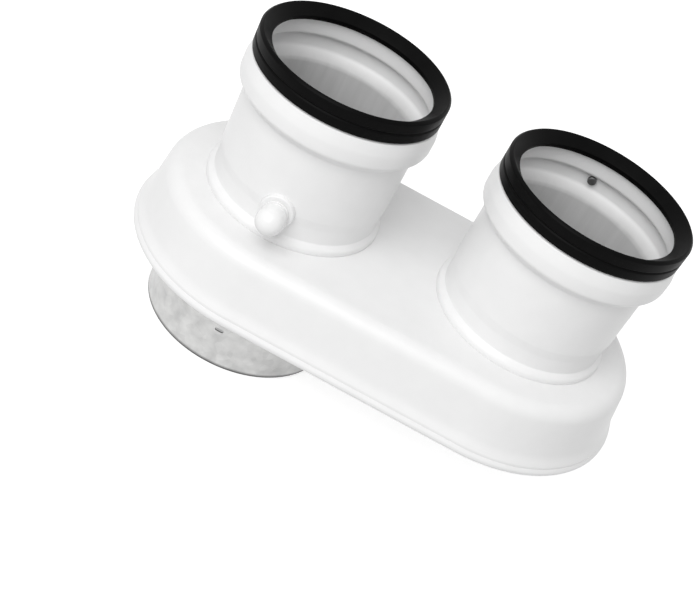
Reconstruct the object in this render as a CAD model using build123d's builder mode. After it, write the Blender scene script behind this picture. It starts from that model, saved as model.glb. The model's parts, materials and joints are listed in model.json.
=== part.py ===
"""Boiler flue splitter: a flat casing that turns a coaxial flue outlet into a flue pipe and an air pipe.

Millimetres, +Z up. The origin is on the flue axis at the collar's lower edge. +X points to the air
socket and -Y to the front, where the test point is.
"""

from build123d import *
import os

os.makedirs("parts", exist_ok=True)

# Where the sockets stand and what they fit
SOCKET_SPACING = 125.0
PIPE_R = 40.0
COLLAR_R = 50.0
DUCT_R = 30.0

# Sheet thicknesses
SHEET = 0.8
SOCKET_WALL = 1.0

# Clearances: sheet through a hole, rubber on metal, duct in the neck, a running plug
HOLE_FIT = 0.15
RUBBER_FIT = 0.1
SLIP_FIT = 0.1
PLUG_FIT = 0.06

# Collar below the base plate
COLLAR_DROP = 42.8
COLLAR_CURL = 1.6
COLLAR_CURL_R = 1.0
COLLAR_FLANGE = 6.0
COLLAR_SET = 0.8
COLLAR_SLOT_LENGTH = 4.6
COLLAR_SLOT_WIDTH = 2.0
COLLAR_SLOT_Z = 22.0

# Casing: a stadium in plan, with a tapered wall, a round top edge and a flared foot
END_SPACING = 120.6
CASING_HEIGHT = 35.0
WALL_FOOT_R = 68.9
WALL_LEAN = 4.9
TOP_EDGE_R = 8.0
FLARE_WIDTH = 2.3
FLARE_TOP = 8.6
FLARE_HEIGHT = 3.8
FLARE_BEND_R = 2.4

# Base plate: a tray whose rim stands round the casing's foot
RIM_WALL_HEIGHT = 3.6
RIM_FIT = 0.25
RIM_BEND_R = 1.8
FOOT_LIFT = 0.5

# Sockets, measured up from the panel
NECK_ROOM = 2.9
STUB_SET = 0.6
STUB_HEIGHT = 14.4
STUB_SLOPE = 1.2
STUB_BEND_R = 1.2
LIP_WIDTH = 3.6
BEAD_OUT = 2.6
BEAD_BELLY = 2.6
BEAD_HEIGHT = 5.0
BEAD_FOOT_R = 0.3
BEAD_BELLY_R = 2.6
BEAD_TOP_R = 0.8
NECK_HEIGHT = 50.0
STEP_HEIGHT = 4.8
STEP_FOOT_R = 2.6
STEP_TOP_R = 3.2
BELL_OUT = 5.0
BELL_STRAIGHT = 6.8
BELL_HEIGHT = 12.8
BELL_SHOULDER = 1.4
BELL_CROWN_R = 9.0
SHOULDER_BEND_R = 0.6
RIM_OUT = 2.1
RIM_RISE = 0.7
RIM_HEIGHT = 9.6
HEM_GAP = 0.1
HEM_EDGE_R = 0.9
HEM_LENGTH = 13.9
HEM_CURL = 2.3
HEM_CURL_DROP = 1.2
HEM_CURL_R = 2.0

# Rubber seal on each rim
SKIRT_WIDTH = 1.6
SKIRT_GAP = 0.4
SEAL_HEIGHT = 12.0
SEAL_GROOVE = 0.7
SEAL_GROOVE_Z = 5.0
SEAL_CROWN = 1.1
SEAL_ROOF = 0.6
SEAL_LEG = 1.4
SEAL_LEG_DROP = 5.6
LIP_GRIP = 0.3
LIP_DROP = 5.2
LIP_LAND = 2.0
LIP_RISE = 1.7
SEAL_EDGE_R = 0.5

# Inner flue duct
DUCT_RECESS = 3.0
DUCT_STRAIGHT = 45.0
DUCT_CONE = 20.0
DUCT_LAP = 7.4
DUCT_BEND_R = 6.0

# Test point on the front of the flue neck
TEST_HEIGHT = 15.9
BOSS_R = 8.4
BOSS_REACH = 2.3
BOSS_EDGE_R = 0.8
TEST_BORE_R = 5.0
PLUG_SEAT = 0.1
PLUG_SEAT_R = 6.2
PLUG_SEAT_WIDTH = 1.0
PLUG_SHANK = 2.3
PLUG_HEAD_R = 7.3
PLUG_RIM = 5.2
PLUG_DOME = 6.8
PLUG_GROOVE_Y = 0.1
RING_WIRE_R = 0.5
RING_GROOVE = 1.0

# Rivet through the back of the air socket's bell
RIVET_HEIGHT = 60.2
RIVET_R = 1.7
RIVET_HEAD_R = 3.2
RIVET_HEAD = 1.1
RIVET_TAIL_R = 2.3
RIVET_TAIL = 2.2
RIVET_SEAT = 0.35

# Levels and radii that follow
BASE_TOP = COLLAR_DROP + SHEET
PANEL_Z = BASE_TOP + CASING_HEIGHT
MIDDLE_X = SOCKET_SPACING / 2
HALF_ENDS = END_SPACING / 2
WALL_TOP_R = WALL_FOOT_R - WALL_LEAN
FLARE_R = WALL_FOOT_R + FLARE_WIDTH
BASE_RIM_R = FLARE_R + RIM_FIT + SHEET
COLLAR_NECK_R = COLLAR_R - COLLAR_SET
NECK_R = PIPE_R + NECK_ROOM
NECK_IN_R = NECK_R - SOCKET_WALL
STUB_R = NECK_R - STUB_SET
STUB_Z = PANEL_Z + STUB_HEIGHT
BELL_R = NECK_R + BELL_OUT
RIM_R = NECK_R + RIM_OUT
STEP_Z = PANEL_Z + NECK_HEIGHT
BELL_Z = STEP_Z + STEP_HEIGHT
SHOULDER_Z = BELL_Z + BELL_HEIGHT
RIM_Z = SHOULDER_Z + RIM_RISE
RIM_TOP = RIM_Z + RIM_HEIGHT
HEM_R = RIM_R - 2 * SOCKET_WALL - HEM_GAP
HEM_END = RIM_TOP - HEM_LENGTH
TEST_Z = PANEL_Z + TEST_HEIGHT
RIVET_Z = PANEL_Z + RIVET_HEIGHT
FLUE = Location((0, 0, 0))
AIR = Location((SOCKET_SPACING, 0, 0))


def sheet_section(points, radii, wall, side, plane=Plane.XZ):
    """Section of a bent sheet: a line through the points, rounded at each corner, made one wall thick."""
    with BuildSketch(plane) as section:
        with BuildLine():
            FilletPolyline(*points, radius=radii)
            offset(amount=wall, side=side)
        make_face()
    return section.sketch


def add_stadium(points, radii, wall, side):
    """Inside a part: carry a sheet section round the casing's stadium outline."""
    end = Plane(origin=(MIDDLE_X - HALF_ENDS, 0, 0), x_dir=(0, -1, 0), z_dir=(-1, 0, 0))
    section = sheet_section(points, radii, wall, side, end)
    extrude(section, amount=-HALF_ENDS)
    revolve(section, axis=Axis(end.origin, (0, 0, -1)), revolution_arc=90)
    mirror(about=Plane.XZ)
    mirror(about=Plane.YZ.offset(MIDDLE_X))


def socket_section():
    """Wall of a socket: from the lip under the panel to the rim for the seal, hemmed back down inside the bell."""
    points = [
        (STUB_R + LIP_WIDTH, PANEL_Z - SHEET),
        (STUB_R, PANEL_Z - SHEET),
        (STUB_R, PANEL_Z),
        (STUB_R + BEAD_OUT, PANEL_Z),
        (STUB_R + BEAD_OUT, PANEL_Z + BEAD_BELLY),
        (STUB_R, PANEL_Z + BEAD_HEIGHT),
        (STUB_R, STUB_Z),
        (NECK_R, STUB_Z + STUB_SLOPE),
        (NECK_R, STEP_Z),
        (BELL_R, BELL_Z),
        (BELL_R, BELL_Z + BELL_STRAIGHT),
        (BELL_R - BELL_SHOULDER, SHOULDER_Z),
        (RIM_R, RIM_Z),
        (RIM_R, RIM_TOP),
        (HEM_R, RIM_TOP),
        (HEM_R, HEM_END),
        (HEM_R + HEM_CURL, HEM_END - HEM_CURL_DROP),
    ]
    radii = [
        HOLE_FIT,
        HOLE_FIT,
        BEAD_FOOT_R,
        BEAD_BELLY_R,
        BEAD_TOP_R,
        STUB_BEND_R,
        STUB_BEND_R,
        STEP_FOOT_R,
        STEP_TOP_R,
        BELL_CROWN_R,
        SHOULDER_BEND_R,
        SHOULDER_BEND_R,
        HEM_EDGE_R,
        HEM_EDGE_R,
        HEM_CURL_R,
    ]
    return sheet_section(points, radii, SOCKET_WALL, Side.LEFT)


def seal_section():
    """Rubber ring that straddles the rim: ribbed skirt outside, short leg and sloping lip inside."""
    slot_out = RIM_R + RUBBER_FIT
    slot_in = HEM_R - RUBBER_FIT
    slot_top = RIM_TOP + RUBBER_FIT
    skirt_z = RIM_Z + SKIRT_GAP
    skirt_r = slot_out + SKIRT_WIDTH
    crown_z = skirt_z + SEAL_HEIGHT
    groove_z = skirt_z + SEAL_GROOVE_Z
    lip_r = PIPE_R - LIP_GRIP
    lip_z = crown_z - LIP_DROP
    leg_r = slot_in - SEAL_LEG
    leg_z = slot_top - SEAL_LEG_DROP
    roof_r = skirt_r - SEAL_CROWN
    points = [
        (slot_out, skirt_z),
        (skirt_r, skirt_z),
        (skirt_r, groove_z - SEAL_GROOVE),
        (skirt_r - SEAL_GROOVE, groove_z),
        (skirt_r, groove_z + SEAL_GROOVE),
        (skirt_r, crown_z - SEAL_CROWN),
        (roof_r, crown_z),
        (roof_r - SEAL_ROOF, crown_z),
        (lip_r, lip_z),
        (lip_r, lip_z - LIP_LAND),
        (leg_r, lip_z - LIP_LAND + LIP_RISE),
        (leg_r, leg_z),
        (slot_in, leg_z),
        (slot_in, slot_top),
        (slot_out, slot_top),
    ]
    radii = [0, SEAL_EDGE_R, SEAL_EDGE_R, 0, SEAL_EDGE_R, SEAL_EDGE_R, SEAL_EDGE_R, SEAL_EDGE_R]
    radii += [0] * (len(points) - len(radii))
    with BuildSketch(Plane.XZ) as section:
        with BuildLine():
            FilletPolyline(*points, radius=radii, close=True)
        make_face()
    return section.sketch


# Casing: the stadium shell, with a hole for each socket
with BuildPart() as casing:
    casing_points = [
        (FLARE_R, BASE_TOP + FOOT_LIFT),
        (FLARE_R, BASE_TOP + FLARE_TOP - FLARE_HEIGHT),
        (WALL_FOOT_R, BASE_TOP + FLARE_TOP),
        (WALL_TOP_R, PANEL_Z),
        (0, PANEL_Z),
    ]
    add_stadium(casing_points, [FLARE_BEND_R, FLARE_BEND_R, TOP_EDGE_R], SHEET, Side.LEFT)
    with Locations((0, 0, PANEL_Z), (SOCKET_SPACING, 0, PANEL_Z)):
        Hole(radius=STUB_R + HOLE_FIT, depth=2 * SHEET)
casing.part.label = "casing"
export_step(casing.part, "parts/casing.step")

# Base plate: flat underside, its rim turned up round the casing's foot
with BuildPart() as base_plate:
    base_points = [
        (BASE_RIM_R, BASE_TOP + RIM_WALL_HEIGHT),
        (BASE_RIM_R, COLLAR_DROP),
        (0, COLLAR_DROP),
    ]
    add_stadium(base_points, [RIM_BEND_R], SHEET, Side.RIGHT)
    with Locations((0, 0, BASE_TOP)):
        Hole(radius=COLLAR_NECK_R + HOLE_FIT, depth=2 * SHEET)
base_plate.part.label = "base_plate"
export_step(base_plate.part, "parts/base_plate.step")

# Flue socket: formed tube, drilled on the front for the test point
with BuildPart() as flue_socket:
    revolve(socket_section(), axis=Axis.Z)
    with BuildSketch(Plane.XZ):
        with Locations((0, TEST_Z)):
            Circle(TEST_BORE_R)
    extrude(amount=NECK_R + SOCKET_WALL, mode=Mode.SUBTRACT)
flue_socket.part.label = "flue_socket"
export_step(flue_socket.part, "parts/flue_socket.step")

# Air socket: the same tube over the other end, drilled at the back for the rivet
with BuildPart() as air_socket:
    with Locations(AIR):
        add(revolve(socket_section(), axis=Axis.Z, mode=Mode.PRIVATE))
    with BuildSketch(Plane.XZ):
        with Locations((SOCKET_SPACING, RIVET_Z)):
            Circle(RIVET_R + HOLE_FIT)
    extrude(amount=-(BELL_R + SOCKET_WALL), mode=Mode.SUBTRACT)
air_socket.part.label = "air_socket"
export_step(air_socket.part, "parts/air_socket.step")

# One seal on each rim
for seal_name, seal_place in (("flue_seal", FLUE), ("air_seal", AIR)):
    with BuildPart() as seal:
        with Locations(seal_place):
            add(revolve(seal_section(), axis=Axis.Z, mode=Mode.PRIVATE))
    seal.part.label = seal_name
    export_step(seal.part, "parts/" + seal_name + ".step")

# Coaxial collar: tube with its lower edge curled in, drawn in to pass and flange over the base plate
with BuildPart() as coaxial_collar:
    collar_points = [
        (COLLAR_R - COLLAR_CURL, 0),
        (COLLAR_R, 0),
        (COLLAR_R, COLLAR_DROP - COLLAR_SET),
        (COLLAR_NECK_R, COLLAR_DROP),
        (COLLAR_NECK_R, BASE_TOP),
        (COLLAR_NECK_R + COLLAR_FLANGE, BASE_TOP),
    ]
    collar_radii = [COLLAR_CURL_R, HOLE_FIT, HOLE_FIT, HOLE_FIT]
    revolve(sheet_section(collar_points, collar_radii, SHEET, Side.LEFT), axis=Axis.Z)
    with BuildSketch(Plane.XZ):
        with Locations((0, COLLAR_SLOT_Z)):
            SlotOverall(COLLAR_SLOT_LENGTH, COLLAR_SLOT_WIDTH)
    extrude(amount=COLLAR_R + SHEET, mode=Mode.SUBTRACT)
coaxial_collar.part.label = "coaxial_collar"
export_step(coaxial_collar.part, "parts/coaxial_collar.step")

# Inner flue duct: straight tube, cone, and a short top that laps into the flue socket
with BuildPart() as inner_flue_duct:
    duct_top_r = STUB_R - SOCKET_WALL - SLIP_FIT
    duct_points = [
        (DUCT_R, DUCT_RECESS),
        (DUCT_R, DUCT_STRAIGHT),
        (duct_top_r, DUCT_STRAIGHT + DUCT_CONE),
        (duct_top_r, PANEL_Z + DUCT_LAP),
    ]
    revolve(sheet_section(duct_points, [DUCT_BEND_R, DUCT_BEND_R], SHEET, Side.LEFT), axis=Axis.Z)
inner_flue_duct.part.label = "inner_flue_duct"
export_step(inner_flue_duct.part, "parts/inner_flue_duct.step")

# Test boss: round boss with a saddle that follows the neck, bored for the plug
boss_face = NECK_R + BOSS_REACH
with BuildPart() as test_boss:
    with BuildSketch(Plane.XZ):
        with Locations((0, TEST_Z)):
            Circle(BOSS_R)
    extrude(amount=boss_face)
    fillet(test_boss.edges().filter_by(GeomType.CIRCLE).sort_by(Axis.Y)[0], BOSS_EDGE_R)
    with Locations((0, 0, TEST_Z)):
        Cylinder(NECK_R, 4 * BOSS_R, mode=Mode.SUBTRACT)
    with BuildSketch(Plane.XZ):
        with Locations((0, TEST_Z)):
            Circle(TEST_BORE_R)
    extrude(amount=boss_face, mode=Mode.SUBTRACT)
test_boss.part.label = "test_boss"
export_step(test_boss.part, "parts/test_boss.step")

# Test plug: knob head on a shank, with a seat and a grooved stem, pushed in from the front
TEST_FRONT = Plane(origin=(0, 0, TEST_Z), x_dir=(0, 0, 1), z_dir=(1, 0, 0))
TEST_AXIS = Axis((0, 0, TEST_Z), (0, -1, 0))
stem_r = TEST_BORE_R - PLUG_FIT
seat_y = boss_face + PLUG_SEAT
groove_y = NECK_R + PLUG_GROOVE_Y
groove_r = stem_r - RING_GROOVE
head_y = seat_y + PLUG_SEAT_WIDTH + PLUG_SHANK
rim_y = head_y + PLUG_RIM
plug_tip = rim_y + PLUG_DOME
with BuildPart() as test_plug:
    with BuildSketch(TEST_FRONT):
        with BuildLine():
            Polyline(
                (0, NECK_IN_R),
                (stem_r, NECK_IN_R),
                (stem_r, groove_y),
                (groove_r, groove_y),
                (groove_r, groove_y + 2 * RING_WIRE_R + 2 * PLUG_FIT),
                (stem_r, groove_y + 2 * RING_WIRE_R + 2 * PLUG_FIT),
                (stem_r, seat_y),
                (PLUG_SEAT_R, seat_y),
                (PLUG_SEAT_R, seat_y + PLUG_SEAT_WIDTH),
                (stem_r, seat_y + PLUG_SEAT_WIDTH),
                (stem_r, head_y),
                (PLUG_HEAD_R, head_y),
                (PLUG_HEAD_R, rim_y),
            )
            TangentArc((0, plug_tip), (PLUG_HEAD_R, rim_y), tangent=(1, 0))
            Line((0, plug_tip), (0, NECK_IN_R))
        make_face()
    revolve(axis=TEST_AXIS)
test_plug.part.label = "test_plug"
export_step(test_plug.part, "parts/test_plug.step")

# Sealing ring in the plug's groove
with BuildPart() as plug_ring:
    with BuildSketch(TEST_FRONT):
        with Locations((stem_r - RING_WIRE_R, groove_y + RING_WIRE_R + PLUG_FIT)):
            Circle(RING_WIRE_R)
    revolve(axis=TEST_AXIS)
plug_ring.part.label = "plug_ring"
export_step(plug_ring.part, "parts/plug_ring.step")

# Rivet: domed head outside the bell, upset tail inside
RIVET_SIDE = Plane(origin=(SOCKET_SPACING, 0, RIVET_Z), x_dir=(0, 0, 1), z_dir=(-1, 0, 0))
with BuildPart() as stop_rivet:
    tail_y = BELL_R - SOCKET_WALL - RIVET_SEAT
    with BuildSketch(RIVET_SIDE):
        with BuildLine():
            Polyline(
                (0, tail_y - RIVET_TAIL),
                (RIVET_TAIL_R, tail_y - RIVET_TAIL),
                (RIVET_TAIL_R, tail_y),
                (RIVET_R, tail_y),
                (RIVET_R, BELL_R),
                (RIVET_HEAD_R, BELL_R),
            )
            TangentArc((0, BELL_R + RIVET_HEAD), (RIVET_HEAD_R, BELL_R), tangent=(1, 0))
            Line((0, BELL_R + RIVET_HEAD), (0, tail_y - RIVET_TAIL))
        make_face()
    revolve(axis=Axis((SOCKET_SPACING, 0, RIVET_Z), (0, 1, 0)))
stop_rivet.part.label = "stop_rivet"
export_step(stop_rivet.part, "parts/stop_rivet.step")
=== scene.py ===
# %% [markdown]
# # A boiler flue splitter
#
# The real thing is a sheet metal box, powder coated white, that sits on a boiler's round flue outlet. Two
# sockets on its lid take an 80 mm flue pipe and an 80 mm air pipe, each gripped by a black rubber ring. This
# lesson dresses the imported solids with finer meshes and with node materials, then sets up the light and the
# camera.

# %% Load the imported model
import json
import math

import bmesh
import bpy
import numpy as np
from mathutils import Matrix, Vector


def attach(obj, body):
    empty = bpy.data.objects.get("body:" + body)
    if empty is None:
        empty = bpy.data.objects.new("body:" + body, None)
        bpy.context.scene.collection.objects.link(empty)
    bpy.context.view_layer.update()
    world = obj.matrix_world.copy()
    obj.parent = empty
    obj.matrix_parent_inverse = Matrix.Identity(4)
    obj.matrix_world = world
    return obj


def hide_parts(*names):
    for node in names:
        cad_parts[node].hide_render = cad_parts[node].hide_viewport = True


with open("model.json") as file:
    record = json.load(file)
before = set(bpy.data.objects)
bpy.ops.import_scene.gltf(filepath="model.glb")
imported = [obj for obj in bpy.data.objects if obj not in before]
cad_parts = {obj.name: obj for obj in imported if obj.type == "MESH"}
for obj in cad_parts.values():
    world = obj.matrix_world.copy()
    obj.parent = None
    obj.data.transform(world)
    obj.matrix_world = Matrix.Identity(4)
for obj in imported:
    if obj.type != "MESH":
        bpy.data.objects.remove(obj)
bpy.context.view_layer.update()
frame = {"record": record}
body_of_node = {n: b for b, ns in frame["record"]["behaviour"]["bodies"].items() for n in ns}

# %% [markdown]
# ## Sections and the surfaces they make
#
# Nearly every piece is bent or spun sheet, so its shape is a flat section carried round a path. Screw and
# Solidify modifiers could do that too. Here a section is a table of corners, each corner becomes an arc of its
# own radius, and whole arrays carry the section round, because that keeps every bend and wall at its real size.
# Light then rolls over the bends as it does on the real thing. Lengths are in millimetres.

# %% Corners to a smooth line
MM = 0.001
ARC_STEP = math.radians(8)
RUN_STEP = 5.0
SAME = 1e-5


def corner_table(rows):
    """Rows of (r, z, bend radius), split into the corners and their radii."""
    table = np.asarray(rows, float)
    return table[:, :2], table[:, 2]


def rounded_line(corners, radii, closed=False):
    """Straight runs between corners, with an arc at each corner that has a radius.

    An arc leaves the runs at radius / tan(half the corner's angle) and its centre is on the bisector. Its
    points are the first and last spoke, blended by the sines of the angle left and the angle gone.
    """
    corner, radius = np.asarray(corners, float), np.asarray(radii, float)
    back = np.roll(corner, 1, 0) - corner
    ahead = np.roll(corner, -1, 0) - corner
    back /= np.linalg.norm(back, axis=1, keepdims=True)
    ahead /= np.linalg.norm(ahead, axis=1, keepdims=True)
    half = np.arccos(np.clip((back * ahead).sum(1), -1, 1)) / 2
    turn = np.pi - 2 * half
    arcs = []
    for i in range(len(corner)):
        if radius[i] == 0:
            arcs.append(corner[i : i + 1])
            continue
        middle = (back[i] + ahead[i]) / np.linalg.norm(back[i] + ahead[i])
        centre = corner[i] + middle * radius[i] / np.sin(half[i])
        reach = radius[i] / np.tan(half[i])
        first = corner[i] + back[i] * reach - centre
        last = corner[i] + ahead[i] * reach - centre
        gone = np.linspace(0, 1, max(2, math.ceil(turn[i] / ARC_STEP)) + 1)[:, None]
        spoke = np.sin((1 - gone) * turn[i]) * first + np.sin(gone * turn[i]) * last
        arcs.append(centre + spoke / np.sin(turn[i]))
    line = np.concatenate(arcs + ([arcs[0][:1]] if closed else []))
    apart = np.linalg.norm(np.diff(line, axis=0), axis=1) > SAME
    line = line[np.concatenate([[True], apart])]
    return divided(line, closed)


def divided(line, closed=False):
    """Each run of the line cut into equal steps no longer than RUN_STEP."""
    run = np.linalg.norm(np.diff(line, axis=0), axis=1)
    cuts = np.maximum(1, np.ceil(run / RUN_STEP).astype(int))
    at = np.repeat(np.arange(len(run)), cuts)
    part = (np.arange(cuts.sum()) - np.repeat(np.cumsum(cuts) - cuts, cuts)) / cuts[at]
    points = line[at] + (line[at + 1] - line[at]) * part[:, None]
    return points if closed else np.concatenate([points, line[-1:]])


# %% One wall thickness to the side
EDGE_R = 0.22
LEAST_R = 0.06


def beside(corners, wall):
    """The corners one wall to the left of travel: each run shifts along its normal, and they meet again."""
    corner = np.asarray(corners, float)
    run = np.diff(corner, axis=0)
    run /= np.linalg.norm(run, axis=1, keepdims=True)
    normal = np.stack([-run[:, 1], run[:, 0]], 1)
    before = np.concatenate([normal[:1], normal])
    after = np.concatenate([normal, normal[-1:]])
    return corner + wall * (before + after) / (1 + (before * after).sum(1, keepdims=True))


def far_radii(corners, radii, wall):
    """Bend radii on the far face: one wall less where the line turns towards it, one wall more elsewhere."""
    run = np.diff(np.asarray(corners, float), axis=0)
    bend = np.sign(run[:-1, 0] * run[1:, 1] - run[:-1, 1] * run[1:, 0])
    return np.maximum(np.asarray(radii, float) - wall * bend, LEAST_R)


def sheet_loop(corners, radii, wall):
    """Closed section of bent sheet: the near face out, the far face back, with softened cut edges."""
    far = beside(corners, wall)[::-1]
    edge = [EDGE_R]
    bends = np.concatenate([edge, radii, edge, edge, far_radii(corners, radii, wall)[::-1], edge])
    return rounded_line(np.concatenate([corners, far]), bends, closed=True)


# %% Carry a section round
TURNS = 240
UPRIGHT = np.eye(3)
FRONT = np.array([[1.0, 0, 0], [0, 0, 1], [0, -1, 0]])
REAR = np.array([[1.0, 0, 0], [0, 0, -1], [0, 1, 0]])


def turned(section, origin=(0, 0, 0), stand=UPRIGHT, turns=TURNS):
    """Section points (r, h) spun about an axis: (r cos a, r sin a, h), then stood up at the origin."""
    a = np.linspace(0, 2 * np.pi, turns, endpoint=False)
    r, h = np.asarray(section, float).T
    flat = [np.outer(r, np.cos(a)), np.outer(r, np.sin(a))]
    ring = np.stack([*flat, np.outer(h, np.ones(turns))], -1)
    return ring @ stand + np.asarray(origin, float)


def quads(rows, columns, closed_rows, closed_columns):
    """Corner numbers of the faces between neighbours of a grid, wrapping round where it is closed."""
    i = np.arange(rows if closed_rows else rows - 1)[:, None]
    j = np.arange(columns if closed_columns else columns - 1)[None]
    i2, j2 = (i + 1) % rows, (j + 1) % columns
    row, next_row = i * columns, i2 * columns
    four = np.broadcast_arrays(row + j, row + j2, next_row + j2, next_row + j)
    return np.stack(four, -1).reshape(-1, 4)


# %% Grids to a piece
SHARP = math.radians(38)
materials = {}


def piece(name, cad_node, look, *grids):
    """One welded object from (points, closed_rows, closed_columns) grids, that stands for its CAD node."""
    points, faces, count = [], [], 0
    for grid, closed_rows, closed_columns in grids:
        points.append(grid.reshape(-1, 3) * MM)
        faces.append(quads(*grid.shape[:2], closed_rows, closed_columns) + count)
        count += len(points[-1])
    mesh = bpy.data.meshes.new(name)
    faces = np.concatenate(faces)
    mesh.vertices.add(count)
    mesh.vertices.foreach_set("co", np.concatenate(points).ravel())
    mesh.loops.add(faces.size)
    mesh.loops.foreach_set("vertex_index", faces.ravel())
    mesh.polygons.add(len(faces))
    mesh.polygons.foreach_set("loop_start", np.arange(0, faces.size, 4))
    mesh.update(calc_edges=True)
    weld(mesh)
    made = bpy.data.objects.new(name, mesh)
    bpy.context.scene.collection.objects.link(made)
    mesh.materials.append(materials[look])
    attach(made, body_of_node[cad_node])
    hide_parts(cad_node)
    print(name, "for", cad_node, len(mesh.polygons), "faces")
    return made


def weld(mesh):
    """Joins doubled points, turns the faces outwards and shades smooth between the sharp edges."""
    shape = bmesh.new()
    shape.from_mesh(mesh)
    bmesh.ops.remove_doubles(shape, verts=shape.verts, dist=SAME * MM)
    bmesh.ops.recalc_face_normals(shape, faces=shape.faces)
    shape.to_mesh(mesh)
    shape.free()
    mesh.shade_smooth()
    mesh.set_sharp_from_angle(angle=SHARP)


def cut(made, shape):
    """Takes a closed grid like those of piece out of a piece, as a drill or a punch does."""
    grid, closed_rows, closed_columns = shape
    cutter = bpy.data.objects.new("cutter", bpy.data.meshes.new("cutter"))
    bpy.context.scene.collection.objects.link(cutter)
    faces = quads(*grid.shape[:2], closed_rows, closed_columns)
    cutter.data.from_pydata((grid.reshape(-1, 3) * MM).tolist(), [], faces.tolist())
    weld(cutter.data)
    tool = made.modifiers.new("cut", "BOOLEAN")
    tool.operation, tool.solver, tool.object = "DIFFERENCE", "EXACT", cutter
    seen = made.evaluated_get(bpy.context.evaluated_depsgraph_get())
    mesh = bpy.data.meshes.new_from_object(seen)
    made.modifiers.clear()
    made.data = mesh
    bpy.data.objects.remove(cutter)
    mesh.shade_smooth()
    mesh.set_sharp_from_angle(angle=SHARP)


# %% [markdown]
# ## Finishes
#
# A finish is more than a colour. Powder coat has a faint orange peel and long soft waves from the sheet under
# it, rubber is dark and matt with a fine grain, and zinc shows its crystals. Painted images could carry that,
# but nodes stay sharp at any distance and need no unwrapping. One node group makes the shared grain: a fine
# bump, a broad wave and a mottle, each at a size given in millimetres, so every finish has its own scale.

# %% Node helpers and the shared grain


def wire(tree, source, target):
    """Links an output socket to an input socket."""
    tree.links.new(source, target)


def node(tree, kind, **values):
    """A node with its properties or inputs set by name."""
    made = tree.nodes.new(kind)
    for key, value in values.items():
        if key in made.bl_rna.properties:
            setattr(made, key, value)
        else:
            made.inputs[key.replace("_", " ")].default_value = value
    return made


def surface_grain():
    """Group: object position and three scales in, a height in metres and a mottle from 0 to 1 out."""
    group = bpy.data.node_groups.new("surface_grain", "ShaderNodeTree")
    socket = group.interface.new_socket
    socket("Vector", in_out="INPUT", socket_type="NodeSocketVector")
    for name in ("Fine per metre", "Fine depth", "Wave per metre", "Wave depth", "Mottle per metre"):
        socket(name, in_out="INPUT", socket_type="NodeSocketFloat")
    socket("Height", in_out="OUTPUT", socket_type="NodeSocketFloat")
    socket("Mottle", in_out="OUTPUT", socket_type="NodeSocketFloat")
    come, go = group.nodes.new("NodeGroupInput"), group.nodes.new("NodeGroupOutput")
    noises = {}
    for kind, detail in (("Fine", 1.0), ("Wave", 0.0), ("Mottle", 3.0)):
        noises[kind] = node(group, "ShaderNodeTexNoise", Detail=detail)
        wire(group, come.outputs["Vector"], noises[kind].inputs["Vector"])
        wire(group, come.outputs[kind + " per metre"], noises[kind].inputs["Scale"])
    deep = {}
    for kind in ("Fine", "Wave"):
        deep[kind] = node(group, "ShaderNodeMath", operation="MULTIPLY")
        wire(group, noises[kind].outputs["Fac"], deep[kind].inputs[0])
        wire(group, come.outputs[kind + " depth"], deep[kind].inputs[1])
    both = node(group, "ShaderNodeMath", operation="ADD")
    wire(group, deep["Fine"].outputs[0], both.inputs[0])
    wire(group, deep["Wave"].outputs[0], both.inputs[1])
    wire(group, both.outputs[0], go.inputs["Height"])
    wire(group, noises["Mottle"].outputs["Fac"], go.inputs["Mottle"])
    return group


GRAIN = surface_grain()
print("group", GRAIN.name, [s.name for s in GRAIN.interface.items_tree])

# %% A finish from its grain
CRYSTAL_SHARE = 0.16


def finish(name, dark, light, rough, scales, metallic=0.0, ior_level=0.5, crystal=0.0):
    """A material: colour runs from dark to light and roughness from rough[0] to rough[1] with the mottle.

    Where crystal gives a size in millimetres, flat patches of that size are mixed into the mottle.
    """
    made = bpy.data.materials.new(name)
    made.use_nodes = True
    tree = made.node_tree
    skin = tree.nodes["Principled BSDF"]
    skin.inputs["Metallic"].default_value = metallic
    skin.inputs["Specular IOR Level"].default_value = ior_level
    place = node(tree, "ShaderNodeTexCoord")
    grains = node(tree, "ShaderNodeGroup", node_tree=GRAIN)
    wire(tree, place.outputs["Object"], grains.inputs["Vector"])
    for key, value in scales.items():
        grains.inputs[key].default_value = value
    mottle = grains.outputs["Mottle"]
    if crystal:
        cells = node(tree, "ShaderNodeTexVoronoi", Scale=1 / (crystal * MM))
        wire(tree, place.outputs["Object"], cells.inputs["Vector"])
        shade = node(tree, "ShaderNodeSeparateColor")
        wire(tree, cells.outputs["Color"], shade.inputs["Color"])
        patches = node(tree, "ShaderNodeMix", data_type="FLOAT", Factor=CRYSTAL_SHARE)
        wire(tree, mottle, patches.inputs["A"])
        wire(tree, shade.outputs["Red"], patches.inputs["B"])
        mottle = patches.outputs["Result"]
    colour = node(tree, "ShaderNodeMix", data_type="RGBA")
    colour.inputs["A"].default_value = (*dark, 1)
    colour.inputs["B"].default_value = (*light, 1)
    wire(tree, mottle, colour.inputs["Factor"])
    wire(tree, colour.outputs["Result"], skin.inputs["Base Color"])
    span = node(tree, "ShaderNodeMapRange", To_Min=rough[0], To_Max=rough[1])
    wire(tree, mottle, span.inputs["Value"])
    wire(tree, span.outputs["Result"], skin.inputs["Roughness"])
    bump = node(tree, "ShaderNodeBump", Distance=1.0)
    wire(tree, grains.outputs["Height"], bump.inputs["Height"])
    wire(tree, bump.outputs["Normal"], skin.inputs["Normal"])
    materials[name] = made


def grain(fine, fine_depth, wave, wave_depth, mottle):
    """The grain group's values, from sizes and depths in millimetres."""
    return {
        "Fine per metre": 1 / (fine * MM),
        "Fine depth": fine_depth * MM,
        "Wave per metre": 1 / (wave * MM),
        "Wave depth": wave_depth * MM,
        "Mottle per metre": 1 / (mottle * MM),
    }


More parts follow.
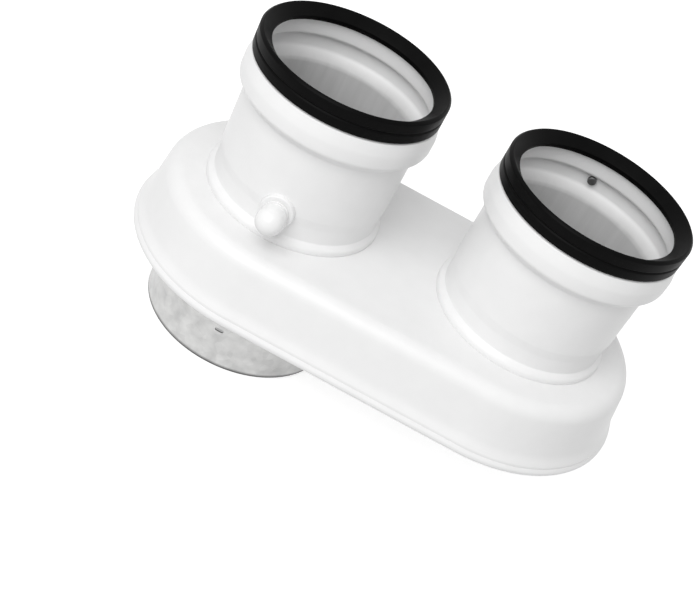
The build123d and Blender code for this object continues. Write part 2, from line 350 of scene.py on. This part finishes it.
finish("white_powder_coat", (0.80, 0.80, 0.80), (0.84, 0.84, 0.84), (0.26, 0.40),
       grain(1.1, 0.006, 38, 0.18, 9), ior_level=0.3)
finish("black_rubber", (0.0012, 0.0012, 0.0012), (0.0035, 0.0035, 0.0035), (0.34, 0.5),
       grain(0.35, 0.012, 12, 0.05, 5), ior_level=0.045)
finish("zinc_sheet", (0.36, 0.36, 0.36), (0.77, 0.77, 0.76), (0.26, 0.46),
       grain(0.8, 0.008, 20, 0.10, 7), metallic=0.6, crystal=4.0)
finish("bare_aluminium", (0.55, 0.55, 0.56), (0.68, 0.68, 0.68), (0.34, 0.52),
       grain(0.6, 0.006, 25, 0.10, 6), metallic=1.0)
finish("white_plastic", (0.82, 0.82, 0.82), (0.85, 0.85, 0.85), (0.20, 0.30),
       grain(0.9, 0.003, 9, 0.03, 5))
finish("dark_steel", (0.10, 0.10, 0.10), (0.22, 0.22, 0.22), (0.38, 0.6),
       grain(0.4, 0.010, 5, 0.02, 1.5), metallic=0.8)
print("finishes", sorted(materials))

# %% [markdown]
# ## Painted shade in the finishes
#
# Two places carry painted shade. Inside a socket's neck, below the step, grey streaks over the coat stand for
# the shade deep in the tube, and near black on the collar's lower edge stands for the shade under its curl.
# Both could be pieces of their own. A mask that lays a second colour over the finish is enough, since the shape
# doesn't change there.

# %% Painted shade in the neck and on the collar's edge
# Painted shade: grey laid in streaks inside the socket necks, below the step, stands for the shade deep in the
# tubes.
STREAK_WIDTH, STREAK_STRETCH, STREAK_LEAST = 3.0, 0.06, 0.86
NECK_SHADE_COLOUR = (0.52, 0.52, 0.52)
# Painted shade: near black laid on the collar's lower edge stands for the shade under its curl.
EDGE_SHADE_COLOUR = (0.06, 0.06, 0.06)
EDGE_FULL, EDGE_NONE = 0.9, 2.6


def over(made, mask, colour):
    """Lays a colour over a finish's own where the mask is 1."""
    tree = made.node_tree
    target = tree.nodes["Principled BSDF"].inputs["Base Color"]
    own = target.links[0].from_socket
    mix = node(tree, "ShaderNodeMix", data_type="RGBA")
    mix.inputs["B"].default_value = (*colour, 1)
    wire(tree, mask, mix.inputs["Factor"])
    wire(tree, own, mix.inputs["A"])
    wire(tree, mix.outputs["Result"], target)


def neck_shade_mask(tree):
    """The neck_shade value stored on a mesh, where painted shade goes, broken up by streaks that run down the
    wall.
    """
    stored = node(tree, "ShaderNodeAttribute", attribute_name="neck_shade")
    place = node(tree, "ShaderNodeTexCoord")
    drawn_out = node(tree, "ShaderNodeMapping", Scale=(1.0, 1.0, STREAK_STRETCH))
    wire(tree, place.outputs["Object"], drawn_out.inputs["Vector"])
    streaks = node(tree, "ShaderNodeTexNoise", Scale=1 / (STREAK_WIDTH * MM), Detail=3.0)
    wire(tree, drawn_out.outputs["Vector"], streaks.inputs["Vector"])
    share = node(tree, "ShaderNodeMapRange", From_Min=0.3, From_Max=0.7, To_Min=STREAK_LEAST, To_Max=1.0)
    wire(tree, streaks.outputs["Fac"], share.inputs["Value"])
    both = node(tree, "ShaderNodeMath", operation="MULTIPLY")
    wire(tree, stored.outputs["Fac"], both.inputs[0])
    wire(tree, share.outputs["Result"], both.inputs[1])
    return both.outputs[0]


def low_edge_mask(tree, full, none):
    """1 up to the height full and 0 from the height none, in millimetres above the floor."""
    place = node(tree, "ShaderNodeTexCoord")
    split = node(tree, "ShaderNodeSeparateXYZ")
    wire(tree, place.outputs["Object"], split.inputs["Vector"])
    fade = node(tree, "ShaderNodeMapRange", To_Min=1.0, To_Max=0.0)
    fade.inputs["From Min"].default_value = full * MM
    fade.inputs["From Max"].default_value = none * MM
    wire(tree, split.outputs["Z"], fade.inputs["Value"])
    return fade.outputs["Result"]


coat, zinc = materials["white_powder_coat"], materials["zinc_sheet"]
# Painted shade: grey streaks over the white coat inside the socket necks.
over(coat, neck_shade_mask(coat.node_tree), NECK_SHADE_COLOUR)
# Painted shade on the collar's lower edge, fading out above it.
over(zinc, low_edge_mask(zinc.node_tree, EDGE_FULL, EDGE_NONE), EDGE_SHADE_COLOUR)
print("painted neck shade and edge shade ready")

# %% [markdown]
# ## The casing and its base
#
# In plan the casing is a stadium: two half circles joined by straight sides. It could be a cube with bevels and
# holes cut by booleans, but the lid would then be shaded by long thin faces. So its wall section is carried
# round the outline, and each half of the lid is filled from the outline in to the socket's hole. The base plate
# is made the same way, with its rim turned up round the casing's foot.

# %% Levels shared by the pieces
SPACING = 125.0
SHEET = 0.8
SOCKET_WALL = 1.0
HOLE_FIT = 0.15
COLLAR_R = 50.0
COLLAR_DROP = 42.8
BASE_TOP = COLLAR_DROP + SHEET
CASING_HEIGHT, END_SPACING = 35.0, 120.6
PANEL_Z = BASE_TOP + CASING_HEIGHT
MIDDLE_X = SPACING / 2
HALF_ENDS = END_SPACING / 2
COLLAR_SET, STUB_SET = 0.8, 0.6
COLLAR_NECK_R = COLLAR_R - COLLAR_SET
NECK_R = 42.9
STUB_R = NECK_R - STUB_SET
print("lid at", PANEL_Z, "mm, base top at", BASE_TOP, "mm")

# %% The stadium outline
END_STEPS = 144
SIDE_STEPS = 28


def half_outline(side):
    """Centres and outward normals round one half of the stadium, from front to back at the left.

    A point r out is centre + r * normal: centres run along the straight sides and stay put round the end. The
    right half is the left one turned by half a turn.
    """
    a = np.linspace(-np.pi / 2, -3 * np.pi / 2, END_STEPS + 1)
    run = np.linspace(0, -HALF_ENDS, SIDE_STEPS, endpoint=False)
    x = np.concatenate([run, np.full(len(a), -HALF_ENDS), run[::-1]])
    normal = np.concatenate([np.tile([0, -1.0], (SIDE_STEPS, 1)), np.stack([np.cos(a), np.sin(a)], 1),
                             np.tile([0, 1.0], (SIDE_STEPS, 1))])
    centre = np.stack([x, np.zeros(len(x))], 1)
    return centre * -side + [MIDDLE_X, 0], normal * -side


LEFT, RIGHT = half_outline(-1), half_outline(1)
WHOLE = [np.concatenate([left[:-1], right[:-1]]) for left, right in zip(LEFT, RIGHT)]


def swept(section):
    """Section points (r, z) carried round the whole stadium."""
    centre, normal = WHOLE
    r, z = section.T
    plan = centre[None] + r[:, None, None] * normal[None]
    return np.concatenate([plan, np.broadcast_to(z[:, None, None], (*plan.shape[:2], 1))], -1)


# %% Fill between the outline and a hole
FILL_STEPS = 9


def filled(half, r, hole_x, hole_r, z):
    """Flat fill of one half: spokes from its edge to the hole, with each hole point in line with its edge."""
    centre, normal = half
    edge = centre + r * normal
    across = np.linspace(edge[-1], edge[0], 4 * FILL_STEPS + 1)[1:-1]
    edge = np.concatenate([edge, across])
    spoke = edge - [hole_x, 0]
    hole = hole_r * spoke / np.linalg.norm(spoke, axis=1, keepdims=True) + [hole_x, 0]
    t = np.linspace(0, 1, FILL_STEPS)[:, None, None]
    plan = edge * (1 - t) + hole * t
    return np.concatenate([plan, np.full((*plan.shape[:2], 1), z)], -1)


def pierced(half, r, hole_x, hole_r, near_z, far_z):
    """Both faces of a holed sheet: in along the near face, through the hole, out along the far face."""
    near = filled(half, r, hole_x, hole_r, near_z)
    far = filled(half, r, hole_x, hole_r, far_z)
    return np.concatenate([near, far[::-1]])


# %% Casing
WALL_FOOT_R, WALL_LEAN = 68.9, 4.9
WALL_TOP_R = WALL_FOOT_R - WALL_LEAN
TOP_EDGE_R = 8.0
FLARE_WIDTH = 2.3
FLARE_R = WALL_FOOT_R + FLARE_WIDTH
FLARE_START, FLARE_HEIGHT = 8.6, 3.8
FLARE_TOP = BASE_TOP + FLARE_START
FLARE_START_R, FLARE_END_R = 12.0, 2.4
FOOT_LIFT = 0.5
FOOT_Z = BASE_TOP + FOOT_LIFT
LID_FILL_R = 55.0

casing_line = np.array([[LID_FILL_R, PANEL_Z], [WALL_TOP_R, PANEL_Z], [WALL_FOOT_R, FLARE_TOP],
                        [FLARE_R, FLARE_TOP - FLARE_HEIGHT], [FLARE_R, FOOT_Z]])
casing_bends = [TOP_EDGE_R, FLARE_START_R, FLARE_END_R]
casing_far = beside(casing_line, -SHEET)[::-1]
casing_section = rounded_line(
    np.concatenate([casing_line, casing_far]),
    [0, *casing_bends, EDGE_R, EDGE_R, *far_radii(casing_line, casing_bends, -SHEET)[::-1], 0])
LID_HOLE_R = STUB_R + HOLE_FIT
piece(
    "painted_casing", "casing", "white_powder_coat",
    (swept(casing_section), False, True),
    (pierced(LEFT, LID_FILL_R, 0, LID_HOLE_R, PANEL_Z, PANEL_Z - SHEET), False, True),
    (pierced(RIGHT, LID_FILL_R, SPACING, LID_HOLE_R, PANEL_Z, PANEL_Z - SHEET), False, True))

# %% Base plate
RIM_FIT, RIM_WALL_HEIGHT = 0.25, 3.6
BASE_RIM_R = FLARE_R + RIM_FIT + SHEET
BASE_RIM_TOP = BASE_TOP + RIM_WALL_HEIGHT
RIM_BEND_R = 1.8
RIM_LEAN, RIM_LEAN_HEIGHT = 0.95, 1.6
BASE_FILL_R = 66.0

base_line = np.array([[BASE_RIM_R - RIM_LEAN, BASE_RIM_TOP], [BASE_RIM_R, BASE_RIM_TOP - RIM_LEAN_HEIGHT],
                      [BASE_RIM_R, COLLAR_DROP], [BASE_FILL_R, COLLAR_DROP]])
base_bends = [RIM_BEND_R, RIM_BEND_R]
base_far = beside(base_line, -SHEET)
base_section = rounded_line(
    np.concatenate([base_line[::-1], base_far]),
    [0, *base_bends, EDGE_R, EDGE_R, *far_radii(base_line, base_bends, -SHEET), 0])
piece(
    "painted_base", "base_plate", "white_powder_coat",
    (swept(base_section), False, True),
    (pierced(LEFT, BASE_FILL_R, 0, COLLAR_NECK_R + HOLE_FIT, COLLAR_DROP, BASE_TOP), False, True),
    (filled(RIGHT, BASE_FILL_R, SPACING, 0, COLLAR_DROP), False, True),
    (filled(RIGHT, BASE_FILL_R, SPACING, 0, BASE_TOP), False, True))

# %% [markdown]
# ## The sockets
#
# Each socket is a tube spun to shape: a bead that sits on the lid, a neck, a step out to the bell, and a rim
# that is turned back down inside as a hem and carries the seal. A Screw modifier on a drawn curve would look
# alike. One closed section, spun round the socket's axis, gives the true wall and hem. A value stored on the
# mesh tells the finish where to lay painted shade inside the neck.

# %% Socket section
LIP_WIDTH = 3.6
BEAD_OUT, BEAD_BELLY, BEAD_HEIGHT = 2.6, 2.6, 5.0
STUB_HEIGHT, STUB_SLOPE, STUB_BEND_R = 12.6, 4.8, 8.0
STUB_Z = PANEL_Z + STUB_HEIGHT
NECK_HEIGHT, STEP_HEIGHT = 50.0, 4.8
STEP_Z = PANEL_Z + NECK_HEIGHT
BELL_Z = STEP_Z + STEP_HEIGHT
BELL_R, BELL_STRAIGHT, BELL_SHOULDER, BELL_HEIGHT = 47.9, 6.8, 1.4, 12.8
SHOULDER_Z = BELL_Z + BELL_HEIGHT
RIM_R, RIM_STEP, RIM_HEIGHT, RIM_EDGE_R = 45.0, 0.7, 9.6, 0.9
RIM_Z = SHOULDER_Z + RIM_STEP
RIM_TOP = RIM_Z + RIM_HEIGHT
HEM_GAP, HEM_LENGTH, HEM_CURL, HEM_CURL_DROP = 0.1, 13.9, 2.3, 1.2
HEM_R = RIM_R - 2 * SOCKET_WALL - HEM_GAP
HEM_END = RIM_TOP - HEM_LENGTH

socket_line, socket_bends = corner_table([
    (STUB_R + LIP_WIDTH, PANEL_Z - SHEET, 0),
    (STUB_R, PANEL_Z - SHEET, HOLE_FIT),
    (STUB_R, PANEL_Z, HOLE_FIT),
    (STUB_R + BEAD_OUT, PANEL_Z, 0.3),
    (STUB_R + BEAD_OUT, PANEL_Z + BEAD_BELLY, 2.6),
    (STUB_R, PANEL_Z + BEAD_HEIGHT, 0.8),
    (STUB_R, STUB_Z, STUB_BEND_R),
    (NECK_R, STUB_Z + STUB_SLOPE, STUB_BEND_R),
    (NECK_R, STEP_Z, 2.6),
    (BELL_R, BELL_Z, 3.2),
    (BELL_R, BELL_Z + BELL_STRAIGHT, 9.0),
    (BELL_R - BELL_SHOULDER, SHOULDER_Z, 0.6),
    (RIM_R, RIM_Z, 0.6),
    (RIM_R, RIM_TOP, RIM_EDGE_R),
    (HEM_R, RIM_TOP, RIM_EDGE_R),
    (HEM_R, HEM_END, 2.0),
    (HEM_R + HEM_CURL, HEM_END - HEM_CURL_DROP, 0)])
socket_loop = sheet_loop(socket_line, socket_bends[1:-1], SOCKET_WALL)
print("socket section", len(socket_loop), "points")

# %% Flue socket, bored for the test point
TEST_HEIGHT, TEST_BORE_R = 15.9, 5.0
TEST_Z = PANEL_Z + TEST_HEIGHT
TEST_AT = (0, 0, TEST_Z)
HOLE_TURNS = 64
DRILL_PAST = 5
SHADE_TOP, SHADE_FADE = 3.4, 2.6


def drill(r, near, far, origin, stand):
    """A closed cylinder: its section goes out from the axis, along the side and back."""
    return turned([(0, near), (r, near), (r, far), (0, far)], origin, stand, HOLE_TURNS), False, True


def mark_neck_shade(made, axis_x):
    """Stores 1, where painted shade goes, on points of the neck that face its axis, fading to 0 over the lower
    half of the step.

    A point faces the axis where its normal and its offset from the axis are opposed.
    """
    mesh = made.data
    at, normal = np.empty((2, len(mesh.vertices), 3))
    mesh.vertices.foreach_get("co", at.ravel())
    mesh.vertices.foreach_get("normal", normal.ravel())
    offset = at[:, :2] - [axis_x * MM, 0]
    inside = (offset * normal[:, :2]).sum(1) < 0
    value = inside * np.clip((STEP_Z + SHADE_TOP - at[:, 2] / MM) / SHADE_FADE, 0, 1)
    mesh.attributes.new("neck_shade", "FLOAT", "POINT").data.foreach_set("value", value)


flue_socket = piece("painted_flue_socket", "flue_socket", "white_powder_coat",
                    (turned(socket_loop), True, True))
cut(flue_socket, drill(TEST_BORE_R, NECK_R - DRILL_PAST, NECK_R + DRILL_PAST, TEST_AT, FRONT))
# Marks where the painted shade goes inside the flue neck.
mark_neck_shade(flue_socket, 0)

# %% Air socket, drilled for the rivet
AIR_AT = (SPACING, 0, 0)
RIVET_HEIGHT, RIVET_R = 60.2, 1.7
RIVET_AT = (SPACING, 0, PANEL_Z + RIVET_HEIGHT)
air_socket = piece("painted_air_socket", "air_socket", "white_powder_coat",
                   (turned(socket_loop, AIR_AT), True, True))
cut(air_socket, drill(RIVET_R + HOLE_FIT, BELL_R - DRILL_PAST, BELL_R + DRILL_PAST, RIVET_AT, REAR))
# Marks where the painted shade goes inside the air neck.
mark_neck_shade(air_socket, SPACING)

# %% [markdown]
# ## The rubber seals
#
# A seal straddles the socket's rim. Its skirt shows two ribs with a groove between, its crown is rounded, and
# its top slopes down and in to the lip that grips the pipe. A plain torus would lose the flat skirt and the
# groove, so the seal is a closed section too, whose slot takes its place from the socket's rim and hem.

# %% Seals
RUBBER_FIT = 0.1
SLOT_OUT = RIM_R + RUBBER_FIT
SLOT_IN = HEM_R - RUBBER_FIT
SLOT_TOP = RIM_TOP + RUBBER_FIT
SKIRT_LIFT, SKIRT_WALL, SEAL_HEIGHT = 0.4, 1.6, 11.2
SKIRT_Z = RIM_Z + SKIRT_LIFT
SKIRT_R = SLOT_OUT + SKIRT_WALL
CROWN_Z = SKIRT_Z + SEAL_HEIGHT
GROOVE_HEIGHT, GROOVE = 5.0, 0.7
GROOVE_Z = SKIRT_Z + GROOVE_HEIGHT
CROWN, ROOF = 1.1, 0.6
LIP_R, LIP_DROP, LIP_DEPTH, LIP_ROOT = 39.7, 4.4, 2.0, 0.3
LIP_Z = CROWN_Z - LIP_DROP
LEG_WALL, LEG_DROP = 1.4, 5.6
LEG_R, LEG_Z = SLOT_IN - LEG_WALL, SLOT_TOP - LEG_DROP

seal_loop = rounded_line(*corner_table([
    (SLOT_OUT, SKIRT_Z, 0.15),
    (SKIRT_R, SKIRT_Z, 0.5),
    (SKIRT_R, GROOVE_Z - GROOVE, 0.5),
    (SKIRT_R - GROOVE, GROOVE_Z, 0.25),
    (SKIRT_R, GROOVE_Z + GROOVE, 0.5),
    (SKIRT_R, CROWN_Z - CROWN, 0.9),
    (SKIRT_R - CROWN, CROWN_Z, 0.9),
    (SKIRT_R - CROWN - ROOF, CROWN_Z, 0.5),
    (LIP_R, LIP_Z, 0.4),
    (LIP_R, LIP_Z - LIP_DEPTH, 0.3),
    (LEG_R, LIP_Z - LIP_ROOT, 0.3),
    (LEG_R, LEG_Z, 0.2),
    (SLOT_IN, LEG_Z, 0.2),
    (SLOT_IN, SLOT_TOP, 0.1),
    (SLOT_OUT, SLOT_TOP, 0.1)]), closed=True)
piece("rubber_flue_seal", "flue_seal", "black_rubber", (turned(seal_loop), True, True))
piece("rubber_air_seal", "air_seal", "black_rubber", (turned(seal_loop, AIR_AT), True, True))

# %% [markdown]
# ## Below the base
#
# The collar is a bare zinc ring that drops over the boiler's outlet, with its lower edge curled in and a small
# slot in front. Inside it the flue duct widens through the casing and laps into the flue socket. Both are spun
# sections. The slot could be a dark patch in the finish, but from below it would show as painted, so it is cut.

# %% Collar with its slot
COLLAR_CURL = 1.6
COLLAR_FLANGE = 6.0
COLLAR_SLOPE, COLLAR_EDGE_R = 0.8, 1.0
SLOT_LENGTH, SLOT_WIDTH, SLOT_Z = 4.6, 2.0, 22.0
CUT_PAST = 5

collar_line, collar_bends = corner_table([
    (COLLAR_R - COLLAR_CURL, 0, 0),
    (COLLAR_R, 0, COLLAR_EDGE_R),
    (COLLAR_R, COLLAR_DROP - COLLAR_SLOPE, HOLE_FIT),
    (COLLAR_NECK_R, COLLAR_DROP, HOLE_FIT),
    (COLLAR_NECK_R, BASE_TOP, HOLE_FIT),
    (COLLAR_NECK_R + COLLAR_FLANGE, BASE_TOP, 0)])
collar = piece("zinc_collar", "coaxial_collar", "zinc_sheet",
               (turned(sheet_loop(collar_line, collar_bends[1:-1], SHEET)), True, True))


def slot_cutter(length, width, near, far, origin, stand):
    """A closed bar with round ends: a circle whose two halves are drawn apart, between two flat ends."""
    a = np.linspace(0, 2 * np.pi, HOLE_TURNS, endpoint=False)
    apart = np.sign(np.cos(a)) * (length - width) / 2
    ring = np.stack([np.cos(a) * width / 2 + apart, np.sin(a) * width / 2], 1)
    size, out = np.array([0, 1, 1, 0]), np.array([near, near, far, far])
    depth = np.tile(out[:, None, None], (1, HOLE_TURNS, 1))
    bar = np.concatenate([ring[None] * size[:, None, None], depth], -1)
    return bar @ stand + np.asarray(origin, float), False, True


cut(collar, slot_cutter(SLOT_LENGTH, SLOT_WIDTH, COLLAR_R - CUT_PAST, COLLAR_R + CUT_PAST,
                        (0, 0, SLOT_Z), FRONT))

# %% Inner duct
DUCT_FIT, DUCT_LAP, DUCT_BEND_R = 0.1, 7.4, 6.0
DUCT_R, DUCT_TOP_R = 30.0, STUB_R - SOCKET_WALL - DUCT_FIT
DUCT_FOOT, WIDEN_FROM, WIDEN_TO = 3.0, 45.0, 65.0
duct_line, duct_bends = corner_table([
    (DUCT_R, DUCT_FOOT, 0),
    (DUCT_R, WIDEN_FROM, DUCT_BEND_R),
    (DUCT_TOP_R, WIDEN_TO, DUCT_BEND_R),
    (DUCT_TOP_R, PANEL_Z + DUCT_LAP, 0)])
piece("bare_flue_duct", "inner_flue_duct", "bare_aluminium",
      (turned(sheet_loop(duct_line, duct_bends[1:-1], SHEET)), True, True))

# %% [markdown]
# ## The test point
#
# A round boss stands on the front of the flue neck and takes a domed plug. The boss meets a round neck, so its
# foot is a saddle: at each angle it starts just inside the neck's surface. Pushing a plain cylinder into the
# neck would hide the foot too, but the saddle leaves nothing standing inside the tube.

# %% Boss
BOSS_R, BOSS_REACH, BOSS_EDGE, BOSS_SUNK = 8.4, 2.3, 0.8, 0.75
BOSS_FACE = NECK_R + BOSS_REACH


def saddle(r, rise, turns=HOLE_TURNS * 2):
    """Rings of radius r round the test axis: on the neck, y = -sqrt(R^2 - x^2), at rise 0, on the face at 1."""
    a = np.linspace(0, 2 * np.pi, turns, endpoint=False)
    x, up = np.outer(r, np.cos(a)), np.outer(r, np.sin(a))
    neck = np.sqrt((NECK_R - BOSS_SUNK)**2 - x**2)
    out = neck * (1 - np.asarray(rise)[:, None]) + BOSS_FACE * np.asarray(rise)[:, None]
    return np.stack([x, -out, TEST_Z + up], -1)


boss_rise = rounded_line(*corner_table([
    (TEST_BORE_R, 0, 0),
    (TEST_BORE_R, BOSS_REACH, 0.3),
    (BOSS_R, BOSS_REACH, BOSS_EDGE),
    (BOSS_R, 0, 0)]))
piece("painted_boss", "test_boss", "white_powder_coat",
      (saddle(boss_rise[:, 0], boss_rise[:, 1] / BOSS_REACH), True, True))

# %% Plug and its sealing ring
PLUG_FIT = 0.06
STEM_R, SEAT_R, HEAD_R = TEST_BORE_R - PLUG_FIT, 6.2, 6.8
SEAT_GAP, SEAT_WIDTH, PLUG_SHANK = 0.1, 1.0, 2.3
SEAT = BOSS_FACE + SEAT_GAP
SEAT_FRONT = SEAT + SEAT_WIDTH
HEAD_BACK = SEAT_FRONT + PLUG_SHANK
PLUG_RIM, DOME, DOME_STEPS = 5.0, 6.5, 24
STEM_END = NECK_R - SOCKET_WALL
RING_R, RING_DEEP, RING_STEPS, RING_SET = 0.5, 1.0, 24, 0.1
RING_AT = NECK_R + RING_SET
RING_ROOM = 2 * RING_R + 2 * PLUG_FIT


def cap(r, rise, foot, steps):
    """A round cap's section, edge to top: an arc of the sphere of radius (r^2 + rise^2) / (2 rise)."""
    ball = (r**2 + rise**2) / (2 * rise)
    lift = np.linspace(math.asin(r / ball), 0, steps)
    return np.stack([ball * np.sin(lift), foot + rise - ball * (1 - np.cos(lift))], 1)


dome = cap(HEAD_R, DOME, HEAD_BACK + PLUG_RIM, DOME_STEPS)
stem = rounded_line(*corner_table([
    (0, STEM_END, 0),
    (STEM_R, STEM_END, 0.4),
    (STEM_R, RING_AT, 0.1),
    (STEM_R - RING_DEEP, RING_AT, 0.1),
    (STEM_R - RING_DEEP, RING_AT + RING_ROOM, 0.1),
    (STEM_R, RING_AT + RING_ROOM, 0.1),
    (STEM_R, SEAT, 0.05),
    (SEAT_R, SEAT, 0.25),
    (SEAT_R, SEAT_FRONT, 0.25),
    (STEM_R, SEAT_FRONT, 0.3),
    (STEM_R, HEAD_BACK, 0.5),
    (HEAD_R, HEAD_BACK, 1.0),
    (*dome[0], 0)]))
piece("moulded_plug", "test_plug", "white_plastic",
      (turned(np.concatenate([stem, dome[1:]]), TEST_AT, FRONT, 2 * HOLE_TURNS), False, True))
wire_turn = np.linspace(0, 2 * np.pi, RING_STEPS, endpoint=False)
ring_loop = np.stack([STEM_R - RING_R + RING_R * np.cos(wire_turn),
                      RING_AT + PLUG_FIT + RING_R + RING_R * np.sin(wire_turn)], 1)
piece("rubber_plug_ring", "plug_ring", "black_rubber",
      (turned(ring_loop, TEST_AT, FRONT, 2 * HOLE_TURNS), True, True))

# %% Rivet
TAIL_GAP, TAIL_R, TAIL_LENGTH = 0.35, 2.3, 2.2
TAIL_Y = BELL_R - SOCKET_WALL - TAIL_GAP
RIVET_HEAD_R, RIVET_HEAD_RISE, RIVET_STEPS = 3.2, 1.1, 14
rivet_head = cap(RIVET_HEAD_R, RIVET_HEAD_RISE, BELL_R, RIVET_STEPS)
shank = rounded_line(*corner_table([
    (0, TAIL_Y - TAIL_LENGTH, 0),
    (TAIL_R, TAIL_Y - TAIL_LENGTH, 0.8),
    (TAIL_R, TAIL_Y, 0.4),
    (RIVET_R, TAIL_Y, 0.1),
    (RIVET_R, BELL_R, 0.1),
    (*rivet_head[0], 0)]))
piece("steel_rivet", "stop_rivet", "dark_steel",
      (turned(np.concatenate([shank, rivet_head[1:]]), RIVET_AT, REAR, HOLE_TURNS), False, True))

# %% [markdown]
# ## Floor, light and camera
#
# The photograph is a cut-out on white, in soft light from the front left. More light on a plain floor would
# whiten it, but the pale coat would clip. So the floor glows a little for the camera alone, which gives the
# white and keeps the contact shadow. One large lamp makes the soft shading, and the sky fills in the rest.

# %% Floor and sky
FLOOR_HALF = 3.0
FLOOR_COLOUR = (0.6, 0.6, 0.6, 1)
FLOOR_GLOW = 0.72
SKY_LIGHT = 0.585


def seen_directly(tree):
    """1 for camera, mirror and glass rays, and 0 for rays that only carry light."""
    path = node(tree, "ShaderNodeLightPath")
    first = node(tree, "ShaderNodeMath", operation="MAXIMUM")
    both = node(tree, "ShaderNodeMath", operation="MAXIMUM")
    wire(tree, path.outputs["Is Camera Ray"], first.inputs[0])
    wire(tree, path.outputs["Is Glossy Ray"], first.inputs[1])
    wire(tree, first.outputs[0], both.inputs[0])
    wire(tree, path.outputs["Is Transmission Ray"], both.inputs[1])
    return both.outputs[0]


floor_mesh = bpy.data.meshes.new("floor")
floor_corners = np.array([(-1, -1, 0), (1, -1, 0), (1, 1, 0), (-1, 1, 0)]) * FLOOR_HALF
floor_mesh.from_pydata(floor_corners.tolist(), [], [(0, 1, 2, 3)])
floor = bpy.data.objects.new("floor", floor_mesh)
bpy.context.scene.collection.objects.link(floor)
paper = bpy.data.materials.new("white_paper")
paper.use_nodes = True
tree = paper.node_tree
skin = tree.nodes["Principled BSDF"]
skin.inputs["Base Color"].default_value = FLOOR_COLOUR
skin.inputs["Roughness"].default_value = 0.9
skin.inputs["Specular IOR Level"].default_value = 0.0
skin.inputs["Emission Color"].default_value = (1, 1, 1, 1)
glow = node(tree, "ShaderNodeMath", operation="MULTIPLY")
wire(tree, seen_directly(tree), glow.inputs[0])
glow.inputs[1].default_value = FLOOR_GLOW
wire(tree, glow.outputs[0], skin.inputs["Emission Strength"])
floor_mesh.materials.append(paper)

sky = bpy.data.worlds.new("sky")
bpy.context.scene.world = sky
sky.use_nodes = True
tree = sky.node_tree
level = node(tree, "ShaderNodeMapRange", To_Min=SKY_LIGHT, To_Max=1.0)
wire(tree, seen_directly(tree), level.inputs["Value"])
wire(tree, level.outputs["Result"], tree.nodes["Background"].inputs["Strength"])
tree.nodes["Background"].inputs["Color"].default_value = (1, 1, 1, 1)
print("floor and sky ready")

# %% Lamps
AIM = np.array([MIDDLE_X, 0, PANEL_Z]) * MM


def softbox(name, towards, away, size, power):
    """A square lamp at AIM + away * direction, turned to face AIM."""
    direction = np.asarray(towards, float) / np.linalg.norm(towards)
    data = bpy.data.lights.new(name, "AREA")
    data.shape, data.size, data.energy = "SQUARE", size, power
    lamp = bpy.data.objects.new(name, data)
    bpy.context.scene.collection.objects.link(lamp)
    lamp.location = AIM + away * direction
    lamp.rotation_mode = "QUATERNION"
    lamp.rotation_quaternion = Vector(direction).to_track_quat("Z", "Y")
    print(name, np.round(lamp.location, 3), power, "W")


softbox("key", towards=(-0.27, -0.66, 0.74), away=1.3, size=0.9, power=10.8)

# %% Camera
CAMERA_AT = (0.041318, -0.487190, 0.393685)
CAMERA_RIGHT = (0.87935476, 0.27325061, 0.38996065)
CAMERA_UP = (-0.47604853, 0.52277865, 0.70716354)
CAMERA_BACK = (-0.01063024, -0.80748782, 0.58978845)
LENS = 61.472

eye = bpy.data.cameras.new("camera")
eye.lens, eye.sensor_width = LENS, 36.0
eye.clip_start, eye.clip_end = 0.01, 20.0
camera = bpy.data.objects.new("camera", eye)
bpy.context.scene.collection.objects.link(camera)
turn = Matrix(tuple(zip(CAMERA_RIGHT, CAMERA_UP, CAMERA_BACK))).to_4x4()
camera.matrix_world = Matrix.Translation(CAMERA_AT) @ turn
bpy.context.scene.camera = camera
bpy.context.scene.view_settings.view_transform = "Standard"
print("camera", LENS, "mm")
